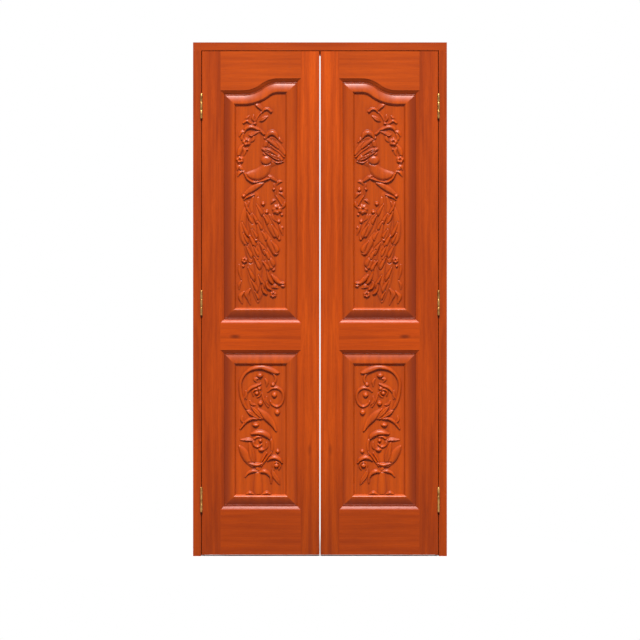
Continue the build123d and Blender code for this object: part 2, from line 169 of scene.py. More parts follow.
class Relief:
    """Height h over a field's grid (u, v) in millimetres, and line, how much painted shade each cut
    line gets.
    """

    def __init__(self, u, v, foot_y):
        self.u, self.v, self.foot_y = u, v, foot_y
        self.h = np.zeros_like(u)
        self.line = np.zeros_like(u)

    def place(self, x, y):
        """A point of the drawing on the grid."""
        return (np.asarray(x) - FIELD_MIDDLE_X) * UNIT, (self.foot_y - np.asarray(y)) * UNIT

    def near(self, x0, x1, y0, y1):
        return np.nonzero((self.u > x0) & (self.u < x1) & (self.v > y0) & (self.v < y1))

    def lay(self, pick, inside, height):
        """Lay a form over earlier ones, where inside is the distance in from its outline."""
        old = self.h[pick]
        reach = np.clip(1 + inside / GROOVE_WIDTH, 0, 1)
        outer = np.maximum(old - reach * np.clip(old / FULL_GROOVE_HEIGHT, 0, 1) * GROOVE_DEPTH, 0)
        # mark is a line of painted shade just outside the new form's outline
        mark = np.exp(-(((inside + LINE_OUTSIDE) / LINE_WIDTH) ** 2))
        self.line[pick] = np.where(inside > EDGE, 0, np.maximum(self.line[pick], mark))
        form = height * np.clip(inside / WALL_RUN + WALL_START, 0, 1)
        self.h[pick] = np.where(inside > -EDGE, np.maximum(form, outer * (inside < 0)), outer)

    def stroke(self, height, kind, *points):
        """A form of varying width along a line through (x, y, half width) points."""
        line = spline(points)
        x, y = self.place(line[:, 0], line[:, 1])
        half = np.clip(WIDENING * line[:, 2] + EXTRA_HALF, LEAST_HALF, None) * UNIT
        room = half.max() + GROOVE_WIDTH + ROOM
        pick = self.near(x.min() - room, x.max() + room, y.min() - room, y.max() + room)
        px, py = self.u[pick][:, None], self.v[pick][:, None]
        dx, dy = np.diff(x), np.diff(y)
        size = dx * dx + dy * dy
        t = np.clip(((px - x[:-1]) * dx + (py - y[:-1]) * dy) / size, 0, 1)
        ex, ey = px - x[:-1] - t * dx, py - y[:-1] - t * dy
        width = half[:-1] + t * np.diff(half)
        score = np.hypot(ex, ey) / width
        best = score.argmin(1)
        row = np.arange(len(best))
        q = score[row, best]
        half_here = width[row, best]
        side = np.sign(dx[best] * ey[row, best] - dy[best] * ex[row, best])
        lengths = np.sqrt(size)
        start = np.concatenate([[0], np.cumsum(lengths)[:-1]])
        along = start[best] + t[row, best] * lengths[best]
        fullness = (1 + np.clip(half_here / half.max(), 0, 1)) / 2
        form = section(kind, q, side, along, along / lengths.sum())
        top = height * fullness * lean(form, q, ey[row, best] / half_here)
        self.lay(pick, half_here * (1 - q), top)

    def dome(self, height, x, y, rx, ry=None, hollow=0.0, petals=0):
        """A round or oval form, parted into petals round a hollow where they are given."""
        ry = rx if ry is None else ry
        cx, cy = self.place(x, y)
        room = max(rx, ry) * UNIT + GROOVE_WIDTH + ROOM
        pick = self.near(cx - room, cx + room, cy - room, cy + room)
        a, b = (self.u[pick] - cx) / UNIT, (self.v[pick] - cy) / UNIT
        wave = np.cos(petals * np.arctan2(b, a) + PETAL_TURN)
        q = np.hypot(a / rx, b / ry) / (1 - SCALLOP * (1 + wave) * (petals > 0))
        ball = np.sqrt(np.clip(1 - q * q, 0, 1))
        top = lean(ROUND_EDGE + (1 - ROUND_EDGE) * ball, q, b / ry)
        if petals:
            ridge = (0.5 - 0.5 * wave) * np.clip(q * PETAL_ONSET, 0, 1)
            top = top * (1 - PETAL_DEPTH + PETAL_DEPTH * ridge)
        if hollow:
            top = top * (1 - HOLLOW_DEPTH * np.exp(-((q / hollow) ** HOLLOW_POWER)))
        self.lay(pick, (1 - q) * min(rx, ry) * UNIT, height * top)


def carve_upper(relief):
    """A peacock in a wreath with its long tail, a sprig above and blossoms beside."""
    stroke, dome = relief.stroke, relief.dome
    # sprig under the arch
    stroke(3.2, "round", (262, 111, .6), (257.5, 116, .8), (254.5, 122, .8))
    stroke(5, "leaf", (262.5, 111, .5), (260, 107.5, 1.6), (257, 105, 1.6), (254.8, 103.6, .4))
    stroke(6, "round", (262, 111.8, .6), (264, 109.2, 1.1), (267.5, 108.8, 1.1),
           (270.6, 111.2, 1.3))
    stroke(5, "leaf", (259, 121, .4), (262.5, 118.8, 1.9), (267, 116.2, .6))
    stroke(4.6, "leaf", (254.6, 121.6, .4), (252.6, 118.4, 1.2), (253.2, 115, .4))
    stroke(4.6, "leaf", (246.8, 121.8, .4), (246.4, 118.4, 1.2), (248.2, 115.8, .4))
    stroke(5, "round", (253.5, 124.5, .6), (250, 122.8, 1.1), (246.5, 120.4, 1.2),
           (243.2, 122.6, 1))
    dome(6, 254.4, 123.2, 1.6)
    # wreath
    stroke(4, "round", (243, 133, .9), (241.5, 138, 1.2), (243.5, 141, .9))
    stroke(5.2, "round", (242.4, 145, .7), (239.8, 149.4, 2.1), (238.5, 153.8, 1.7),
           (238.8, 157, 1))
    stroke(5, "round", (238.5, 162.5, .9), (240, 167.5, 1.7), (243.5, 172, 1.1))
    stroke(6.5, "round", (243.4, 132.4, .7), (246, 128, 1.6), (250.5, 126.4, 1.9),
           (256, 128.2, 1.5), (261, 131.5, 1.3), (266.4, 136.8, 1))
    stroke(5, "leaf", (248.4, 134.2, .5), (251, 134.6, 1.7), (254.8, 132.7, 1.3), (259, 131.2, .6))
    stroke(4.4, "leaf", (243.8, 130.6, .4), (240.8, 132.2, 1.4), (238.8, 136, .5))
    stroke(4.4, "leaf", (250.6, 141.6, .4), (252.8, 139, 1.3), (253.4, 135.8, .4))
    stroke(4.4, "leaf", (242.8, 147.6, .4), (244.4, 151, 1.3), (243.4, 155, .4))
    stroke(4.4, "leaf", (240.4, 165, .4), (237.9, 166.4, 1.2), (237, 169.6, .4))
    stroke(4.4, "leaf", (242.6, 170.6, .4), (239.2, 172.4, 1.3), (237.2, 176, .4))
    dome(4.6, 246.6, 149.4, 1.1)
    dome(7, 246.2, 141.8, 4.5, 4.2, hollow=.36, petals=5)
    dome(7, 239.4, 159.6, 4, 4, hollow=.34, petals=5)
    # neck, crest and shoulder feathers
    stroke(3.6, "round", (266, 137, 2.5), (272, 142, 6), (275.5, 150, 8), (272, 158, 6.5),
           (267, 163, 4))
    stroke(5, "round", (266.8, 139, 1.6), (265.4, 144, 2), (264.6, 149.5, 1.6))
    stroke(5, "round", (270.5, 145.5, .8), (275, 149.4, 1.5), (279.5, 152.6, 1.6),
           (283.6, 156.6, 1))
    stroke(5.6, "feather", (272.5, 140.4, 1.2), (277, 144.4, 2.2), (281, 149, 2.3),
           (284.5, 154, 1.2))
    stroke(6, "feather", (275.5, 135.8, .7), (278.6, 138.6, 1.4), (281.4, 142, .7))
    stroke(7, "round", (264.6, 137.6, 1.2), (269.5, 140.8, 1.7), (274, 144.2, 2),
           (277.4, 147.6, 1.1))
    stroke(8, "round", (265.4, 138, .9), (267.8, 134.2, 2), (271.5, 132.5, 2.4), (274.8, 134, 2.2),
           (277.4, 138, .9))
    # wing
    stroke(5, "round", (262.8, 153, .6), (266.5, 156.2, 1.2), (271.5, 158.6, .9))
    stroke(5, "round", (272, 160, .6), (276.5, 162.3, 1), (282.6, 161.3, .7))
    stroke(8, "round", (262, 148.6, .9), (266, 150, 2.6), (270.8, 152.8, 3.6), (275.8, 156, 3.5),
           (280.8, 159.2, 1.9))
    stroke(7.2, "round", (264.5, 151.8, .5), (269.5, 155, .9), (275.5, 158.7, .9),
           (279.5, 160.2, .5))
    stroke(9, "round", (264.4, 148.8, .5), (268.6, 149.8, 1.3), (273, 152.2, 1.4), (277, 155, .7))
    stroke(8.6, "leaf", (268.4, 153, .3), (272.4, 155.4, .9), (276.8, 157.6, .4))
    # breast and belly
    stroke(5.5, "round", (246, 173.6, 1.2), (251, 174.6, 3.6), (257.5, 174.4, 5.2),
           (263.5, 170.6, 5), (267, 164.5, 3.5))
    dome(8, 265.8, 160.2, 5.4, 4.7)
    stroke(7, "round", (244.2, 173.2, .8), (247.2, 178.6, 1), (253, 181.9, 1), (259.5, 181.6, 1),
           (265, 179.4, 1), (269.2, 178.1, .8))
    stroke(6, "leaf", (267.8, 175.6, .5), (271.6, 177.9, 1.6), (277, 181.6, .6))
    # tail: feathers lap over each other like tiles, so the lowest come first
    stroke(2.6, "round", (255, 195, 3), (255.5, 215, 9), (258.5, 240, 13), (260, 262, 11.5),
           (258, 282, 7), (257, 299, 2))
    stroke(4.6, "feather", (257, 256, 2), (257.2, 268, 3), (257.6, 280, 2.9), (257.5, 291, 2),
           (257, 301.5, .8))
    stroke(5, "feather", (250, 256, 2), (250.2, 268, 3.3), (251.4, 279, 3.2), (254, 290, 2.4),
           (256.6, 300.5, .9))
    stroke(5, "feather", (265.6, 262, 2), (265.9, 272, 3.2), (263.4, 283, 2.9), (260.4, 293, 2),
           (257.5, 302, .9))
    stroke(5.6, "feather", (270.6, 255, 1.2), (272.4, 262, 2), (273, 269.5, 1.6))
    stroke(6.6, "feather", (264, 245, 1.2), (267.4, 253.5, 2.9), (269.9, 260.5, 3.3),
           (271, 266.4, 2.6))
    stroke(6.2, "feather", (256.5, 246, 1.2), (258.4, 254, 2.6), (259.4, 261, 2.7),
           (259.6, 266.5, 2))
    stroke(6.2, "feather", (245.2, 235, 1.4), (247.2, 245, 3), (249.2, 254.5, 3), (250, 261, 2.1))
    stroke(6.4, "feather", (251, 231, 1.5), (252.4, 241, 3), (254.2, 251, 3.2), (255.8, 258, 2.3))
    stroke(6, "feather", (269.4, 215, .8), (273.2, 224, 1.8), (276.8, 232, 2), (278.8, 239, 1.3))
    stroke(7.2, "feather", (262, 229.5, .9), (266.4, 237.4, 2.6), (271.2, 245, 3.4),
           (275, 252, 3.1))
    stroke(6.4, "feather", (248.4, 202, .8), (244.2, 212, 2.3), (242.4, 225, 3.1),
           (243.2, 237, 3.1), (245.4, 243.4, 2.2))
    stroke(6.6, "feather", (264.2, 211.5, 1), (267, 220, 2.5), (270.8, 227.8, 3),
           (274.4, 234.8, 2.5))
    stroke(6.4, "feather", (252.6, 197, 1), (250.6, 209, 2.4), (251, 221, 2.9), (253.4, 232, 3.1),
           (255.2, 239.6, 2.2))
    stroke(7, "feather", (257.6, 198, 1.2), (258, 212, 2.7), (259.4, 225, 3.1), (261.6, 238, 3.4),
           (263.4, 248.6, 2.7))
    # barbs and tips lapping over the plumes: start, bend, length and half width
    tips = [
        (245, 203, -.8, 10, 1.3), (256, 204, .6, 11, 1.7), (246.4, 211, -.4, 12, 1.6),
        (251.8, 213, .3, 10, 1.5), (262.6, 215, 1, 9, 1.5), (256.8, 221, .7, 9, 1.5),
        (260.6, 230.6, 1.2, 9.4, 1.7), (271.2, 224.6, .6, 12.6, 1.9), (251.6, 229, .8, 9, 1.3),
        (248.8, 235, .2, 12, 1.9), (259, 242.4, .8, 11.6, 2.1), (241.4, 222, -.4, 14, 1.6),
        (268, 255.6, .8, 10.4, 2), (245.2, 245, .2, 12.4, 1.7), (262, 261, 1.4, 10, 1.7),
        (253.6, 257, .2, 12, 1.7), (247.4, 267, 0, 13.4, 1.8), (257.8, 275, .2, 12.4, 1.6),
        (266.6, 270.6, -1.2, 13, 1.7), (250.4, 279, .6, 13, 1.6), (270.6, 240.6, 1.4, 11.6, 2.1),
        (242.8, 233, 0, 10, 1.5), (263.8, 250, .9, 9, 1.7), (253, 246, .3, 10, 1.5),
        (261.6, 284, -1.6, 10, 1.4), (254, 291, .4, 8.6, 1.2), (266.8, 281.6, -2, 8, 1.3)]
    for x, y, bend, reach, half in tips:
        stroke(8, "round", (x, y, .4), (x + .2 * reach + bend, y + .42 * reach, .8 * half),
               (x + .38 * reach + bend, y + .78 * reach, half),
               (x + .46 * reach, y + reach, .5 * half))
    # lower wing
    stroke(6.6, "shed", (262.8, 182.8, .9), (258, 185, 2.3), (252, 188.6, 2.7), (246.8, 192.3, 1.9),
           (243.2, 195.6, 1.4))
    dome(7.5, 243.2, 195.6, 1.9)
    stroke(5.4, "round", (253.8, 194.6, .6), (250, 195.6, 1.1), (246.5, 197.2, .9),
           (243.4, 199.6, .4))
    # beads and blossoms on the right
    stroke(4, "round", (275, 194.6, .6), (278.4, 199.4, .9), (281.6, 205, .7))
    stroke(3.6, "round", (273.6, 184, .5), (274.6, 190, .7), (275, 195, .6))
    dome(6, 273.6, 188.9, 1.6)
    dome(6, 280.4, 189.3, 2.1, petals=5)
    dome(7, 262.7, 203.6, 2)
    dome(7, 266.1, 211.8, 2)
    dome(6.5, 276.6, 209.3, 5.2, 5.4, hollow=.28, petals=7)
    dome(6, 278.3, 221.2, 2.1, petals=5)
    dome(5, 281.4, 214.6, 1.3)
    stroke(5, "leaf", (270.6, 203.4, .4), (272.2, 200.8, 1.2), (275, 200, .4))
    stroke(5, "leaf", (281.6, 208, .4), (283.6, 205.2, 1.2), (284.4, 202, .4))
    stroke(5, "leaf", (272, 214.6, .4), (272.8, 218, 1.3), (275.4, 221, .4))
    dome(5, 281.8, 227.6, 1.3)
    stroke(4.6, "leaf", (279, 224.6, .4), (280.6, 229, 1.2), (282.4, 234.6, .4))
    stroke(4.6, "leaf", (276.4, 184.4, .4), (278.6, 181.6, 1.2), (281.6, 181.4, .4))
    stroke(4.6, "leaf", (278.6, 193.2, .4), (281.8, 194.2, 1.2), (284, 197.6, .4))
    # left blossom, lower right cluster and bottom leaves
    dome(6.5, 244, 260.2, 3.2, 3.4, hollow=.35, petals=6)
    dome(5, 242.8, 266, 1.3)
    stroke(5, "leaf", (271.4, 287.2, .5), (274.4, 286.2, 1.9), (277.6, 288, .5))
    dome(5.5, 282.4, 285.4, 2.6, 2.2, petals=5)
    stroke(7.4, "round", (271.6, 275.2, .8), (274.8, 278.8, 2.1), (279, 282.4, 1.7),
           (283.4, 283.2, 1.1))
    dome(6.8, 272.8, 294.6, 3.6, 3.3, hollow=.45, petals=6)
    stroke(5.4, "leaf", (249.6, 289, .5), (246.4, 294, 2), (248.2, 299, 1.4), (249.8, 304.4, .5))
    stroke(5.4, "leaf", (243.6, 291.6, .5), (239.9, 296.4, 1.8), (241.6, 303, .6))
    stroke(4.4, "leaf", (238.8, 264.6, .4), (239, 271, 1.2), (240.8, 279, .4))
    stroke(4, "leaf", (240.6, 281, .4), (238.8, 284.6, 1), (238.6, 289, .4))


def carve_lower(relief):
    """Two stacked scrolls with acanthus over a tulip and a trunk."""
    stroke, dome = relief.stroke, relief.dome
    # trunk and lowest curls
    stroke(4.6, "round", (257, 467, 1.4), (257.4, 479, 3.1), (257.4, 489, 3.7),
           (257.4, 496.6, 3.2))
    stroke(5, "round", (254, 495, .7), (249.6, 492.9, 1.4), (246.2, 494.2, .8))
    stroke(5.6, "round", (261.8, 494.8, .7), (266, 492.8, 1.5), (269.8, 494.2, .8))
    # inner stems and curls of the big scroll
    stroke(4.4, "round", (270, 370.4, .8), (274, 375, 1.1), (275.3, 380, 1), (273.6, 384.2, .8))
    stroke(4.6, "round", (245.8, 399, .6), (246.6, 392.8, 1.1), (250.5, 388.2, 1.4),
           (256, 385.8, 1.3), (260.2, 384, .7))
    stroke(3.8, "round", (261.4, 393.4, .5), (263.5, 400, .9), (267.6, 406.8, .8))
    stroke(4.6, "round", (267.4, 391.7, .6), (271.5, 388.4, 1.2), (277, 388, 1.3),
           (281.5, 391.5, 1.2), (283, 397.5, 1.1), (281, 403.8, 1.1), (276.5, 406.5, 1.1),
           (271.6, 404.2, 1), (270.2, 401.6, .7))
    stroke(4.8, "leaf", (256, 381.8, .4), (254.6, 379.4, 1.3), (257.6, 378.6, .6))
    stroke(4.6, "round", (252.8, 395.8, .5), (252.2, 391.8, .8), (255.4, 389.6, .9),
           (259.2, 391.4, .8), (259.6, 395.4, .7), (256.6, 397.4, .5))
    stroke(4.8, "leaf", (268.6, 404.8, .4), (266, 400.8, 1.3), (266.4, 396.6, .4))
    stroke(4.6, "leaf", (243.6, 399.2, .4), (245.6, 395.4, 1.1), (245.4, 391, .4))
    # big scroll
    stroke(7.4, "shed", (247.6, 411.4, .8), (243.5, 404, 1.4), (240.6, 395, 1.3), (239.8, 384, 1.3),
           (242.5, 376.5, 1.3), (247.5, 371, 1.4), (253.5, 368, 1.9), (261, 367.1, 2.2),
           (268.5, 369.4, 2.4), (274, 371.7, 2.2), (278, 372.8, 1))
    # second scroll
    stroke(4.4, "round", (268.4, 436.4, .8), (271, 441.5, 1.3), (271.7, 448, 1.2),
           (270.6, 455, .8))
    stroke(4.6, "round", (260.8, 437.2, .6), (256.6, 436.9, 1), (253.2, 440, 1.2),
           (253.6, 444.8, 1.2), (257.6, 446.8, 1.1), (261.2, 444.6, .7))
    stroke(8, "shed", (251.2, 433.8, 1), (256, 432.7, 1.9), (262, 433, 2.3), (267.5, 435.8, 2.1),
           (269.5, 438.8, .9))
    stroke(4.4, "leaf", (253.6, 440.6, .5), (248, 439.6, 1.5), (240.2, 440, .5))
    # acanthus at the joint of the scrolls
    stroke(6.4, "round", (262.8, 418.4, .8), (257, 418.1, 1.4), (251, 418.8, 1.4),
           (245.5, 421.8, 1.3), (239.8, 428.8, .7))
    stroke(8, "shed", (257.8, 409.2, .6), (262.5, 413.8, 2.7), (267.5, 418.4, 3.1), (272, 424, 2.1),
           (275.8, 431, .7))
    stroke(7.4, "leaf", (246.2, 410.2, .4), (249.5, 412.5, 1.8), (253.5, 415.3, 1.7),
           (258, 418.2, .7))
    stroke(7.4, "leaf", (250.8, 406.6, .4), (254, 410, 1.7), (258, 414.3, 1.8), (261.4, 417.8, .7))
    stroke(5, "leaf", (243.2, 423, .4), (241.4, 420, 1.1), (241.8, 416.6, .4))
    # tulip
    stroke(6.2, "round", (239.2, 446.6, 1), (242.8, 451.8, 3.2), (246.4, 458, 3.6),
           (250.4, 464, 2.1), (252.6, 466.8, .8))
    stroke(5.6, "leaf", (248.8, 443.2, .6), (250.3, 449, 2), (251.8, 456, 2.6),
           (253.2, 463.4, 1.3))
    stroke(5.4, "round", (266.2, 453.4, .5), (262.5, 459, .8), (258.8, 466.4, .6))
    stroke(5.6, "round", (271.2, 452.2, .6), (266.5, 458, .9), (260.8, 465.8, .8))
    stroke(7.4, "round", (248.4, 463.2, .6), (252.5, 464.4, 1.5), (257, 464.9, 1.6),
           (261.8, 463.4, .8))
    # right scroll and leaves
    stroke(7.4, "shed", (267.2, 460.8, .6), (270, 458.3, 1.4), (274.5, 457.4, 1.7),
           (279, 459.4, 1.6), (281.8, 463, .7))
    stroke(4.8, "leaf", (271.8, 469, .5), (273.5, 475, 1.8), (277, 480.5, 1.7), (279.2, 484.6, .4))
    stroke(4.6, "round", (273.4, 470.4, .5), (272.8, 466, .8), (274.8, 462.6, .9), (278, 462.8, .8),
           (279.8, 466, .8), (278.6, 469.4, .6))
    stroke(5, "round", (257.2, 471.6, .6), (252.5, 471.2, 1.4), (248, 473, 1.2),
           (244.8, 476.8, .6))
    stroke(6.2, "round", (259.6, 472.2, .8), (263.5, 471.4, 1.7), (267.6, 473.3, 1.6),
           (270.4, 477.5, 1.1), (270.6, 483.4, .5))
    stroke(4.6, "leaf", (264.6, 379, .4), (266.4, 382.2, 1.2), (266.2, 386.4, .4))
    stroke(4.6, "leaf", (249.4, 401, .4), (251.4, 404.2, 1.2), (254.8, 405, .4))
    stroke(4.6, "leaf", (264.4, 450, .4), (266.4, 446.8, 1.1), (266.2, 442.6, .4))
    # berries
    dome(7.5, 259.4, 375.5, 3.1, 2.4)
    dome(6.5, 272.5, 384.7, 2)
    dome(6.5, 258.8, 388.6, 2.1)
    dome(6.5, 256.3, 393.2, 2)
    dome(7, 273.9, 395, 2.7, 2.5)
    dome(7, 260, 403.4, 2.5)
    dome(7, 276.9, 412.5, 2.6)
    dome(7, 255.2, 425, 3.4, 2)
    dome(6.5, 260, 440.6, 1.8)
    dome(7.5, 261, 449.7, 3.2, 1.9)
    dome(5, 277.3, 451.4, 2)
    dome(7, 276, 465.6, 2.5, 2.3)


def top_line(kind, t):
    """Top of an opening moved in by t, as (x, z) points from its meeting side."""
    if kind == "lower":
        return np.array([[OPEN_RIGHT - t, LOWER_TOP - t], [OPEN_LEFT + t, LOWER_TOP - t]])
    turn = np.linspace(0, ARCH_TURN, ARCH_POINTS)
    crest = ARCH_RADIUS - t
    trough = ARCH_RADIUS + t
    first = np.stack([ARCH_END - crest * np.sin(turn),
                      ARCH_HIGH - ARCH_RADIUS + crest * np.cos(turn)], 1)
    second = np.stack([ARCH_START + trough * np.sin(turn[::-1]),
                       ARCH_LOW + ARCH_RADIUS - trough * np.cos(turn[::-1])], 1)
    return np.vstack([[[OPEN_RIGHT - t, ARCH_HIGH - t]], first, second[1:],
                      [[OPEN_LEFT + t, ARCH_LOW - t]]])


def bottom_of(kind, t):
    """Height of the bottom of an opening moved in by t."""
    return (UPPER_BOTTOM if kind == "upper" else LOWER_BOTTOM) + t


def top_over(kind, t, x):
    """Height of the top of an opening moved in by t, over each x."""
    line = top_line(kind, t)[::-1]
    return np.interp(x, line[:, 0], line[:, 1])


def sides(kind, t):
    """Four polylines round an opening moved in by t: bottom, meeting side, top, hinge side."""
    a, b = [OPEN_LEFT + t, bottom_of(kind, t)], [OPEN_RIGHT - t, bottom_of(kind, t)]
    top = top_line(kind, t)
    return [np.array([a, b]), np.array([b, top[0]]), top, np.array([top[-1], a])]


def bead(steps):
    """The rounded bead beside the shoulder."""
    half = (BEAD_END_T - SHOULDER_T) / 2
    return [(SHOULDER_T + half - half * math.cos(a), SHOULDER_D - BEAD_RISE * math.sin(a))
            for a in np.linspace(0, math.pi, steps + 1)]


def bevel(steps):
    """The raised slope, which starts steep and flattens toward the crest."""
    return [(BEVEL_T + (CREST_T - BEVEL_T) * s,
             SHOULDER_D + (CREST_D - SHOULDER_D) * (1 - (1 - s) ** BEVEL_CURVE))
            for s in np.linspace(0, 1, steps + 1)]


def pocket(steps):
    """The drop from the crest to just under the edge of the sunk field."""
    return [(CREST_END_T + POCKET_RUN * s, CREST_D + POCKET_DROP * s**POCKET_CURVE)
            for s in np.linspace(0, 1, steps + 1)]


FRONT = [
    [(TONGUE_T, TONGUE_FRONT_D), (SHOULDER_T, TONGUE_FRONT_D)],
    [(SHOULDER_T, TONGUE_FRONT_D), (SHOULDER_T, SHOULDER_D)],
    bead(6),
    [(BEAD_END_T, SHOULDER_D), (BEVEL_T, SHOULDER_D)],
    bevel(12),
    [(CREST_T, CREST_D), (CREST_END_T, CREST_D)],
    pocket(6),
]
BACK = [
    [(TONGUE_T, TONGUE_FRONT_D), (TONGUE_T, TONGUE_BACK_D)],
    [(TONGUE_T, TONGUE_BACK_D), (SHOULDER_T, TONGUE_BACK_D)],
    [(SHOULDER_T, TONGUE_BACK_D), (SHOULDER_T, BACK_SHOULDER_D)],
    [(SHOULDER_T, BACK_SHOULDER_D), (BACK_FIELD_T, BACK_FIELD_D)],
]
BACK_COLUMNS = 41

# Painted shade of the border at these insets, for its bottom, meeting side, top and hinge side: 1 is
# full painted shade, and a number below 0 is painted highlight. It is darkest in the quirk, on the
# bevels that face down or away from the lamp, and at the foot of the pocket, and lightest on the
# pocket that faces up at the bottom
PAINTED_BORDER_T = [14, 19, 27, 38, 48, 54, 58, 62]
PAINTED_BORDER_LIGHT = [
    [1.3, 1.3, 1.2, 1.0, 0.7, 0, -0.6, -0.2],
    [1.0, 0.7, 0.3, 0.1, 0, 0, 0, 0.8],
    [1.0, 0.7, 0.3, 0.1, 0, 0, 0, 0.8],
    [1.3, 1.3, 1.2, 0.85, 0.35, 0, 0, 0.8],
]


def add_object(name, data):
    thing = bpy.data.objects.new(name, data)
    bpy.context.scene.collection.objects.link(thing)
    return thing


class Skin:
    """Vertices and faces gathered in millimetres for one piece, with the painted shade or painted
    highlight of each vertex.
    """

    def __init__(self, mirrored):
        self.points, self.faces, self.painted_light = [], [], []
        self.count, self.mirrored = 0, mirrored

    def grid(self, points, flip=False, painted_light=None):
        """Faces between the rows and columns of an array of points."""
        rows, cols = points.shape[:2]
        index = np.arange(rows * cols).reshape(rows, cols) + self.count
        quads = np.stack([index[:-1, :-1], index[:-1, 1:], index[1:, 1:], index[1:, :-1]], -1)
        quads = quads.reshape(-1, 4)
        self.faces.append(quads[:, ::-1] if flip != self.mirrored else quads)
        self.points.append(points.reshape(-1, 3))
        self.painted_light.append(np.zeros(rows * cols) if painted_light is None else painted_light.ravel())
        self.count += rows * cols

    def build(self, name):
        points = np.vstack(self.points) * MM
        if self.mirrored:
            points[:, 0] *= -1
        faces = np.vstack(self.faces)
        mesh = bpy.data.meshes.new(name)
        mesh.from_pydata(points.tolist(), [], faces.tolist())
        mesh.polygons.foreach_set("use_smooth", np.ones(len(faces), bool))
        layer = mesh.attributes.new("painted_light", "FLOAT", "POINT")
        layer.data.foreach_set("value", np.concatenate(self.painted_light).astype(np.float32))
        mesh.validate()
        return add_object(name, mesh)


def soften(h, reach):
    """Mean of h over a square window of 2 * reach + 1 samples."""
    size = 2 * reach + 1
    for axis in (0, 1):
        padded = np.pad(h, [(reach + 1, reach) if a == axis else (0, 0) for a in (0, 1)], "edge")
        total = np.cumsum(padded, axis)
        take, drop = [slice(None)] * 2, [slice(None)] * 2
        take[axis], drop[axis] = slice(size, None), slice(None, -size)
        h = (total[tuple(take)] - total[tuple(drop)]) / size
    return h


def field_grid(kind, columns, rows):
    """Points of the carved field in millimetres, and the painted light of each: painted shade where
    it lies below its surroundings, on cut lines and beside the rim, and painted highlight, below
    zero, where it stands above them.
    """
    t = FIELD_T - FIELD_OVERLAP
    x = np.linspace(OPEN_LEFT + t, OPEN_RIGHT - t, columns)
    bottom, top = bottom_of(kind, t), top_over(kind, t, x)
    z = bottom + np.linspace(0, 1, rows)[:, None] * (top - bottom)
    u = np.broadcast_to(x - MIDDLE, z.shape).copy()
    relief = Relief(u, z - bottom - FIELD_OVERLAP, FIELD_FOOT_Y[kind])
    (carve_upper if kind == "upper" else carve_lower)(relief)

    h = HEIGHT_GAIN * relief.h
    h = h / (1 + (h / HEIGHT_CAP) ** CAP_POWER) ** (1 / CAP_POWER)
    h = (1 - SMOOTHED) * h + SMOOTHED * soften(h, 1)
    side_rim = np.minimum(np.minimum(x - x[0], x[-1] - x)[None, :], top - z)
    rim = np.minimum(side_rim, z - bottom)
    h = h * np.clip(rim / RIM_FADE, 0, 1)

    # Painted shade where the relief lies below the mean around it, less on high parts, along the cut
    # lines and beside the rim; painted highlight, below zero, where it stands above that mean
    around = NEAR_SHARE * soften(h, NEAR_REACH) + (1 - NEAR_SHARE) * soften(h, FAR_REACH)
    painted_light = np.clip((around - h) / FULL_RECESS, -1, 1)
    faded = painted_light * np.clip(HOLLOW_LOW - h / HOLLOW_FADE, LEAST_HOLLOW, 1)
    painted_light = np.where(painted_light > 0, faded, painted_light)
    painted_light = np.maximum(painted_light, LINE_SHADE * relief.line * (rim > RIM_FADE))
    painted_light = painted_light + RIM_SHADE * np.exp(-side_rim / RIM_SHADE_WIDTH) * (h < BARE_HEIGHT)
    return np.stack([u + MIDDLE, FRONT_Y + FIELD_D - h, z], -1), painted_light


def border(skin, kind, groups, flip):
    """Strips of the profile round the four sides of an opening, mitred at its corners."""
    for group in groups:
        insets, depths = zip(*group)
        outlines = [sides(kind, t) for t in insets]
        for index, tarnish_and_painted_light in enumerate(PAINTED_BORDER_LIGHT):
            strip = np.array([[(x, FRONT_Y + d, z) for x, z in outline[index]]
                              for outline, d in zip(outlines, depths)])
            # Painted shade, and painted highlight below zero, at each inset of this side
            painted_light = np.interp(insets, PAINTED_BORDER_T, tarnish_and_painted_light)[:, None]
            skin.grid(strip, flip=flip, painted_light=np.tile(painted_light, strip.shape[1]))


def panel_piece(side, kind, field):
    """A whole panel: moulded border, carved field, and the plain raised field of its back."""
    skin = Skin(side == "right")
    border(skin, kind, FRONT, flip=False)
    border(skin, kind, BACK, flip=True)
    points, painted_light = field
    skin.grid(points, painted_light=painted_light)
    x = np.linspace(OPEN_LEFT + BACK_FIELD_T, OPEN_RIGHT - BACK_FIELD_T, BACK_COLUMNS)
    y = np.full_like(x, FRONT_Y + BACK_FIELD_D)
    bottom = np.full_like(x, bottom_of(kind, BACK_FIELD_T))
    top = top_over(kind, BACK_FIELD_T, x)
    skin.grid(np.stack([np.stack([x, y, z], -1) for z in (bottom, top)]), flip=True)
    piece = skin.build(f"{side}_{kind}_carving")
    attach(piece, f"{side}_leaf")
    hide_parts(f"{side}_{kind}_panel")
    return piece


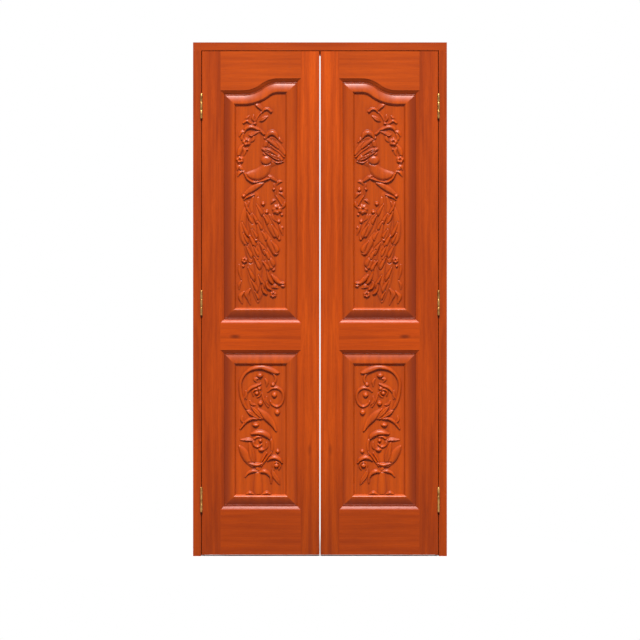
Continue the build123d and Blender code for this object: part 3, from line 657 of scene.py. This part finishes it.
class Tree:
    """Short names for building the nodes of a material or of the world."""

    def __init__(self, owner):
        owner.use_nodes = True
        self.owner = owner
        self.tree = owner.node_tree
        self.shader = self.tree.nodes.get("Principled BSDF")

    def feed(self, socket, value):
        """Link a socket to another, or set it to a number, vector or colour."""
        if isinstance(value, bpy.types.NodeSocket):
            self.tree.links.new(value, socket)
        elif socket.type == "RGBA":
            socket.default_value = (*value, 1)
        else:
            socket.default_value = value

    def add(self, kind, inputs=None, **properties):
        node = self.tree.nodes.new(kind)
        for key, value in properties.items():
            setattr(node, key, value)
        for key, value in (inputs or {}).items():
            self.feed(node.inputs[key], value)
        return node

    def surface(self, inputs):
        """Feed the material's own shader."""
        for key, value in inputs.items():
            self.feed(self.shader.inputs[key], value)

    def coords(self):
        return self.add("ShaderNodeTexCoord").outputs["Object"]

    def mapping(self, vector, scale, location=(0, 0, 0)):
        inputs = {"Vector": vector, "Scale": scale, "Location": location}
        return self.add("ShaderNodeMapping", inputs).outputs[0]

    def maths(self, operation, *values, clamp=False):
        inputs = dict(enumerate(values))
        return self.add("ShaderNodeMath", inputs, operation=operation, use_clamp=clamp).outputs[0]

    def noise(self, vector, scale, detail=2.0, roughness=0.5, distortion=0.0):
        inputs = {"Vector": vector, "Scale": scale, "Detail": detail, "Roughness": roughness,
                  "Distortion": distortion}
        return self.add("ShaderNodeTexNoise", inputs).outputs["Fac"]

    def ramp(self, factor, *stops):
        """Colours or grey levels at rising positions."""
        node = self.add("ShaderNodeValToRGB", {"Fac": factor})
        elements = node.color_ramp.elements
        while len(elements) < len(stops):
            elements.new(0.5)
        for element, (position, colour) in zip(elements, stops):
            element.position = position
            element.color = (*colour, 1)
        return node.outputs["Color"]

    def mix(self, factor, a, b, blend="MIX"):
        node = self.add("ShaderNodeMix", data_type="RGBA", blend_type=blend)
        for index, value in ((0, factor), (6, a), (7, b)):
            self.feed(node.inputs[index], value)
        return node.outputs[2]

    def mix_shaders(self, factor, a, b):
        return self.add("ShaderNodeMixShader", {0: factor, 1: a, 2: b}).outputs[0]

    def bump(self, height, strength, distance):
        inputs = {"Strength": strength, "Distance": distance, "Height": height}
        return self.add("ShaderNodeBump", inputs).outputs[0]


def linear(red, green, blue):
    """A colour given in steps of 255, as the linear values that shaders take."""
    return tuple(((c / 255 + 0.055) / 1.055) ** 2.4 if c > 10 else c / 255 / 12.92
                 for c in (red, green, blue))


BLACK, WHITE = (0, 0, 0), (1, 1, 1)

# Grain patterns: frequency kept along the wood, offset, scale, detail, roughness, distortion
WANDER = (0.35, 3.1, 3.0, 2)
FIGURE = (0.08, 0.0, 30.0, 6, 0.65, 0.6)
FIBRE = (0.02, 5.0, 420.0, 3, 0.7)
PORES = (0.05, 7.0, 900.0, 1, 0.4)
STREAKS = (0.03, 9.0, 17.0, 3, 0.55, 0.3)
BANDS_KEPT, BANDS_OFFSET = 0.06, 1.3
BANDS = {"Scale": 9.0, "Distortion": 7.5, "Detail": 2.5, "Detail Scale": 1.4}
SEED_Y, OFFSET_Z = 0.37, 1.7

# How the patterns colour the wood: ramps from one level or colour to the other, and their shares
VEINS = [(0.56, BLACK), (0.72, WHITE)]
PATCHES, PATCH_SHARE = [(0.3, (0.8, 0.78, 0.74)), (0.7, (1.14, 1.16, 1.2))], 0.75
THREADS, THREAD_SHARE = [(0.3, (0.72, 0.66, 0.6)), (0.62, (1.1, 1.1, 1.1))], 0.5
PITS, PIT_SHARE = [(0.62, BLACK), (0.7, WHITE)], 0.22
SPOT, SPOT_RAGGED = [(0.35, WHITE), (1.0, BLACK)], 0.9
FIGURE_SHARE, BANDS_SHARE = 0.86, 0.14
TONE_MIDDLE, TONE_SPREAD, TONE_SPREAD_ACROSS = 0.47, 0.17, 0.26
DEEP_SHARE = 0.45
# Height in metres over which the painted shade toward the floor fades out
FLOOR_SHADE_HEIGHT = 0.45
# Painted shade for the hollows of the carving and its border, and painted highlight for its raised
# parts, with how much of each the wood takes
PAINTED_SHADE_COLOUR, PAINTED_SHADE_SHARE = linear(126, 38, 3), 0.62
PAINTED_HIGHLIGHT_COLOUR, PAINTED_HIGHLIGHT_SHARE = linear(232, 122, 80), 0.8

# The varnish on plain and on carved wood
PLAIN = {"roughness": 0.28, "level": 0.17, "bump": 0.45}
CARVED = {"roughness": 0.2, "level": 0.2, "bump": 0.2}
WANDER_ROUGHNESS, FIBRE_ROUGHNESS = 0.14, 0.12
VARNISH = {"Coat Weight": 0.1, "Coat Roughness": 0.22, "Coat IOR": 1.45}
PIT_HEIGHT, FIGURE_HEIGHT, GRAIN_HEIGHT = -0.6, 0.8, 0.0004


def knot(m, colour, out, up, figure, deep, x, z, width, height, share):
    """Darken the wood round a knot at x, z, with an edge that the figure breaks up."""
    dx = m.maths("DIVIDE", m.maths("SUBTRACT", out, x), width)
    dz = m.maths("DIVIDE", m.maths("SUBTRACT", up, z), height)
    away = m.maths("SQRT", m.maths("ADD", m.maths("MULTIPLY", dx, dx), m.maths("MULTIPLY", dz, dz)))
    ragged = m.maths("MULTIPLY", m.maths("SUBTRACT", figure, 0.5), SPOT_RAGGED)
    spot = m.ramp(m.maths("ADD", away, ragged), *SPOT)
    return m.mix(m.maths("MULTIPLY", spot, share), colour, deep)


def teak(name, tones, across=False, seed=0.0, streak=0.5, knots=(), carved=False, foot=1.0):
    """Varnished teak: figure and pores run up, or across when asked, alike on both leaves.

    tones are the light and the dark wood, streak is how strong the dark veins are, and foot is the
    share of its brightness that the wood keeps at the floor, as painted shade that darkens it toward
    the floor.
    """
    light, dark = tones
    middle = tuple((a + b) / 2 for a, b in zip(light, dark))
    deep = tuple(c * DEEP_SHARE for c in dark)
    finish = CARVED if carved else PLAIN
    m = Tree(bpy.data.materials.new(name))
    place = m.add("ShaderNodeSeparateXYZ", {0: m.coords()}).outputs
    out, up = m.maths("ABSOLUTE", place["X"]), place["Z"]
    folded = m.add("ShaderNodeCombineXYZ", {"X": out, "Y": place["Y"], "Z": up}).outputs[0]

    def stretched(kept, offset):
        scale = (kept, 1, 1) if across else (1, 1, kept)
        return m.mapping(folded, scale, (seed + offset, seed * SEED_Y, offset * OFFSET_Z))

    wander, figure, fibre, pores, streaks = (
        m.noise(stretched(kept, offset), *texture)
        for kept, offset, *texture in (WANDER, FIGURE, FIBRE, PORES, STREAKS))
    bands = m.add("ShaderNodeTexWave", {"Vector": stretched(BANDS_KEPT, BANDS_OFFSET), **BANDS},
                  wave_type="BANDS", bands_direction="Z" if across else "X").outputs["Fac"]

    tone = m.maths("MULTIPLY_ADD", figure, FIGURE_SHARE, m.maths("MULTIPLY", bands, BANDS_SHARE))
    spread = TONE_SPREAD_ACROSS if across else TONE_SPREAD
    colour = m.ramp(tone, (TONE_MIDDLE - spread, dark), (TONE_MIDDLE, middle),
                    (TONE_MIDDLE + spread, light))
    colour = m.mix(m.maths("MULTIPLY", m.ramp(streaks, *VEINS), streak), colour, deep)
    colour = m.mix(PATCH_SHARE, colour, m.ramp(wander, *PATCHES), "MULTIPLY")
    colour = m.mix(THREAD_SHARE, colour, m.ramp(fibre, *THREADS), "MULTIPLY")
    pits = m.ramp(pores, *PITS)
    colour = m.mix(m.maths("MULTIPLY", pits, PIT_SHARE), colour, deep)
    for sizes in knots:
        colour = knot(m, colour, out, up, figure, deep, *sizes)
    # Painted shade: the wood darkens toward the floor
    if foot < 1:
        fade = m.maths("MULTIPLY_ADD", up, (1 - foot) / FLOOR_SHADE_HEIGHT, foot, clamp=True)
        colour = m.mix(1.0, colour, fade, "MULTIPLY")
    if carved:
        # Painted shade where the vertex value is above zero, and painted highlight where it is below
        # zero
        painted_light = m.add("ShaderNodeAttribute", attribute_name="painted_light").outputs["Fac"]
        colour = m.mix(m.maths("MULTIPLY", painted_light, PAINTED_SHADE_SHARE, clamp=True), colour, PAINTED_SHADE_COLOUR)
        colour = m.mix(m.maths("MULTIPLY", painted_light, -PAINTED_HIGHLIGHT_SHARE, clamp=True), colour, PAINTED_HIGHLIGHT_COLOUR)

    rough = m.maths("MULTIPLY_ADD", fibre, FIBRE_ROUGHNESS, finish["roughness"])
    rough = m.maths("MULTIPLY_ADD", wander, WANDER_ROUGHNESS, rough)
    height = m.maths("MULTIPLY_ADD", pits, PIT_HEIGHT, fibre)
    height = m.maths("MULTIPLY_ADD", figure, FIGURE_HEIGHT, height)
    m.surface({"Base Color": colour, "Roughness": rough, "Specular IOR Level": finish["level"],
               "Normal": m.bump(height, finish["bump"], GRAIN_HEIGHT), **VARNISH})
    return m.owner


# Old brass: the scale, detail and roughness of its tarnish, and fine lines brushed along its height
TARNISH = (60.0, 4, 0.6)
TARNISH_COLOURS = [(0.35, linear(128, 88, 44)), (0.65, linear(188, 146, 84))]
BRUSHED, BRUSHED_STRETCH = (1500.0, 2), (1, 1, 0.05)
BRUSHED_BUMP, BRUSHED_HEIGHT = 0.25, 0.0001
BRASS_ROUGHNESS, TARNISH_ROUGHNESS, BRUSHED_ROUGHNESS = 0.14, 0.2, 0.15


def brass(name):
    """Brass that is brushed along its height and tarnished in patches."""
    m = Tree(bpy.data.materials.new(name))
    coords = m.coords()
    tarnish_and_painted_light = m.noise(coords, *TARNISH)
    lines = m.noise(m.mapping(coords, BRUSHED_STRETCH), *BRUSHED)
    rough = m.maths("MULTIPLY_ADD", tarnish_and_painted_light, TARNISH_ROUGHNESS, BRASS_ROUGHNESS)
    rough = m.maths("MULTIPLY_ADD", lines, BRUSHED_ROUGHNESS, rough)
    m.surface({"Base Color": m.ramp(tarnish_and_painted_light, *TARNISH_COLOURS), "Metallic": 1.0, "Roughness": rough,
               "Normal": m.bump(lines, BRUSHED_BUMP, BRUSHED_HEIGHT)})
    return m.owner


# Light and dark wood of each place; the meeting stiles are made lighter, and the hinge stiles, bottom
# rail and frame darker, as painted light and shade from a lamp above the middle of the door
OUTER = linear(194, 74, 7), linear(162, 56, 5)
MEETING = linear(212, 83, 8), linear(179, 64, 5)
TOP = linear(200, 79, 7), linear(172, 63, 5)
RAIL = linear(216, 84, 8), linear(186, 66, 5)
PANEL = linear(207, 83, 7), linear(184, 70, 5)
WEDGE = OUTER[1], OUTER[1]

# Knots as x, z, half width and half height in metres, and how dark they are
RAIL_KNOT = (0.347, 0.897, 0.03, 0.01, 0.95)
STILE_KNOT = (0.043, 0.436, 0.012, 0.03, 0.4)

BRASS = brass("aged_brass")
WOOD = {
    "hinge_stile": teak("teak_hinge_stile", OUTER, seed=1.7, streak=0.7),
    "meeting_stile": teak("teak_meeting_stile", MEETING, seed=4.1, streak=0.6, knots=[STILE_KNOT],
                          foot=0.66),
    "bottom_rail": teak("teak_bottom_rail", OUTER, across=True, seed=7.3, streak=0.5),
    "middle_rail": teak("teak_middle_rail", RAIL, across=True, seed=2.9, streak=0.4,
                        knots=[RAIL_KNOT]),
    "top_rail": teak("teak_top_rail", TOP, across=True, seed=5.6, streak=0.4),
    "jamb": teak("teak_jamb", OUTER, seed=9.2, streak=0.5),
    "tenon_wedges": teak("teak_wedge", WEDGE, across=True, seed=3.3, streak=0.6),
}


def dress(node, material):
    mesh = nodes[node].data
    mesh.materials.clear()
    mesh.materials.append(material)


for side in ("left", "right"):
    for part, material in WOOD.items():
        dress(f"{side}_{part}", material)
    for part in ("hinge_frame_plates", "hinge_leaf_plates", "hinge_pins"):
        dress(f"{side}_{part}", BRASS)
dress("frame_head", teak("teak_head", OUTER, across=True, seed=6.4, streak=0.5))

# Columns and rows of each field's grid, and the seed of its grain
PANELS = {"upper": (140, 600, 0.6), "lower": (160, 410, 8.2)}
for kind, (columns, rows, seed) in PANELS.items():
    field = field_grid(kind, columns, rows)
    material = teak(f"teak_{kind}_panel", PANEL, seed=seed, streak=0.3, carved=True)
    for side in ("left", "right"):
        panel_piece(side, kind, field).data.materials.append(material)


# Hinges, laid out on the right and mirrored for the left leaf: three for each leaf, with their pins
# in front of the gap at the jamb
PIN_STANDOFF = 5.2
PIN_X, PIN_Y = (PAIR_WIDTH + HANG_GAP) / 2, FRONT_Y - PIN_STANDOFF
HINGE_LENGTH, HINGE_END = 100.0, 225.0
HINGE_HEIGHTS = (FLOOR_GAP + HINGE_END, LEAF_MIDDLE, FLOOR_GAP + LEAF_HEIGHT - HINGE_END)
KNUCKLES, KNUCKLE_GAP = 3, 0.15
BORE, COLLAR, BARREL, ROUNDING = 3.1, 4.5, 4.85, 0.35
FINIAL = [(COLLAR, 0), (COLLAR, 1.3), (4.1, 2.1), (2.6, 2.55), (0.01, 2.62)]
TURN_STEPS = 36
PLATE_FACE = 1.5

# Screws: heights from the middle of the hinge, with depths that take turns, and the slotted heads
SCREW_HEIGHTS, SCREW_DEPTHS = (-36, -13, 13, 36), (19, 10)
SCREW_RADIUS, SCREW_RISE = 3.9, 0.28
SLOT_HALF, SLOT_ANGLE, FIRST_SLOT, SLOT_STEP = 0.45, 0.12, 0.5, 1.9
LIP_POINTS = 15


def revolve(profile, z):
    """A turned form round the pin's line, from (radius, height) points."""
    turn = np.linspace(0, 2 * math.pi, TURN_STEPS + 1)
    return np.array([[(PIN_X + r * math.cos(a), PIN_Y + r * math.sin(a), z + up) for a in turn]
                     for r, up in profile])


def knuckle(index, z):
    """One of the barrels on the pin's line, rounded at both ends."""
    low = 0 if index == 0 else KNUCKLE_GAP
    high = HINGE_LENGTH / KNUCKLES - (0 if index == KNUCKLES - 1 else KNUCKLE_GAP)
    profile = [(BORE, low), (COLLAR, low), (BARREL, low + ROUNDING),
               (BARREL, high - ROUNDING), (COLLAR, high), (BORE, high)]
    return revolve(profile, z + index * HINGE_LENGTH / KNUCKLES)


def screw_head(x, y, z, inward, slot):
    """A countersunk head seen flush in a plate, as two lips either side of its slot."""
    lips = []
    for sign, half in ((1, 0), (-1, math.pi)):
        turn = np.linspace(half + SLOT_ANGLE, half + math.pi - SLOT_ANGLE, LIP_POINTS)
        loops = []
        for share, rise in ((1.0, 0), (0.93, 1), (0.4, 1.1), (0.06, 1.1)):
            radius = SCREW_RADIUS * share
            along = radius * np.cos(turn)
            beside = sign * np.maximum(radius * np.abs(np.sin(turn)), SLOT_HALF)
            loops.append([(x + inward * SCREW_RISE * rise,
                           y + a * math.cos(slot) - b * math.sin(slot),
                           z + a * math.sin(slot) + b * math.cos(slot))
                          for a, b in zip(along, beside)])
        lips.append(np.array(loops))
    return lips


def hinge_piece(side, body):
    """Everything turned or driven that belongs to one body of one leaf's hinges."""
    skin = Skin(side == "left")
    on_frame = body == "frame"
    inward = 1 if on_frame else -1
    for index, height in enumerate(HINGE_HEIGHTS):
        for number in range(KNUCKLES):
            if (number % 2 == 0) == on_frame:
                skin.grid(knuckle(number, height - HINGE_LENGTH / 2))
        if on_frame:
            skin.grid(revolve(FINIAL, height + HINGE_LENGTH / 2))
        for row, up in enumerate(SCREW_HEIGHTS):
            for lip in screw_head(PIN_X + inward * PLATE_FACE, FRONT_Y + SCREW_DEPTHS[row % 2],
                                  height + up, -inward, FIRST_SLOT + SLOT_STEP * row + index):
                skin.grid(lip, flip=not on_frame)
    piece = skin.build(f"{side}_{body}_hinge_hardware")
    piece.data.materials.append(BRASS)
    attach(piece, "frame" if on_frame else f"{side}_leaf")


for side in ("left", "right"):
    for body in ("frame", "leaf"):
        hinge_piece(side, body)


# Floor, world, lamps and camera, in metres, with the lens in millimetres. The picture is FRAME_WIDTH
# drawing units wide, and its middle lies BELOW_MIDDLE units under the middle of the leaves
FLOOR_X, FLOOR_Y = 8, 9
FLOOR_LIT, FLOOR_SEEN = (0.12, 0.12, 0.12), (0.93, 0.93, 0.93)
FADE_SCALE, FADE_FROM, FADE_TO = (0.8, 1.2, 0), 0.3, 1.0
SOFT_LIGHT, BACKGROUND = 0.13, 1.0
LAMP_AIM = (0, 0, 1.1)
LENS, SENSOR, FRAME_WIDTH = 100, 36, 640
CAMERA_X, BELOW_MIDDLE = 0.0001, 17.06


def camera_sees(m):
    """1 for rays that show the background, straight or by gloss and glass, else 0."""
    path = m.add("ShaderNodeLightPath").outputs
    shiny = m.maths("MAXIMUM", path["Is Glossy Ray"], path["Is Transmission Ray"])
    return m.maths("MAXIMUM", path["Is Camera Ray"], shiny)


def floor_material():
    """Pale floor that takes the shadow near the object and turns plain white further out."""
    m = Tree(bpy.data.materials.new("studio_floor"))
    seen = camera_sees(m)
    m.surface({"Base Color": m.mix(seen, FLOOR_LIT, FLOOR_SEEN), "Roughness": 0.9,
               "Specular IOR Level": 0.0})
    away = m.add("ShaderNodeVectorMath", {0: m.mapping(m.coords(), FADE_SCALE)}, operation="LENGTH")
    fade = m.ramp(away.outputs["Value"], (FADE_FROM, BLACK), (FADE_TO, WHITE))
    white = m.add("ShaderNodeEmission").outputs[0]
    floor = m.mix_shaders(m.maths("MULTIPLY", seen, fade), m.shader.outputs[0], white)
    m.feed(m.tree.nodes["Material Output"].inputs["Surface"], floor)
    return m.owner


floor_mesh = bpy.data.meshes.new("studio_floor")
corners = [(-FLOOR_X, -FLOOR_Y, 0), (FLOOR_X, -FLOOR_Y, 0),
           (FLOOR_X, FLOOR_Y, 0), (-FLOOR_X, FLOOR_Y, 0)]
floor_mesh.from_pydata(corners, [], [(0, 1, 2, 3)])
floor_mesh.materials.append(floor_material())
add_object("studio_floor", floor_mesh)

world = bpy.data.worlds.new("studio")
bpy.context.scene.world = world
studio = Tree(world)
studio.tree.nodes.clear()
soft, white = (studio.add("ShaderNodeBackground", {"Color": WHITE, "Strength": strength}).outputs[0]
               for strength in (SOFT_LIGHT, BACKGROUND))
studio.add("ShaderNodeOutputWorld", {"Surface": studio.mix_shaders(camera_sees(studio), soft, white)})


def lamp(name, place, width, height, power):
    """A rectangular lamp that points at LAMP_AIM, near the middle of the door."""
    light = bpy.data.lights.new(name, "AREA")
    light.shape = "RECTANGLE"
    light.size, light.size_y, light.energy = width, height, power
    thing = add_object(name, light)
    thing.location = place
    aim = Vector(LAMP_AIM) - Vector(place)
    thing.rotation_euler = aim.to_track_quat("-Z", "Y").to_euler()


lamp("key", (0, -10.5, 15.6), 4.8, 3.6, 4450)
lamp("back", (0, 11, 9), 5, 4, 1200)

camera_data = bpy.data.cameras.new("camera")
camera_data.lens = LENS
camera_data.sensor_width = SENSOR
camera = add_object("camera", camera_data)
distance = FRAME_WIDTH * UNIT * MM * LENS / SENSOR
camera.location = (CAMERA_X, FRONT_Y * MM - distance, (LEAF_MIDDLE - BELOW_MIDDLE * UNIT) * MM)
camera.rotation_euler = (math.pi / 2, 0, 0)
bpy.context.scene.camera = camera
bpy.context.scene.view_settings.view_transform = "Standard"
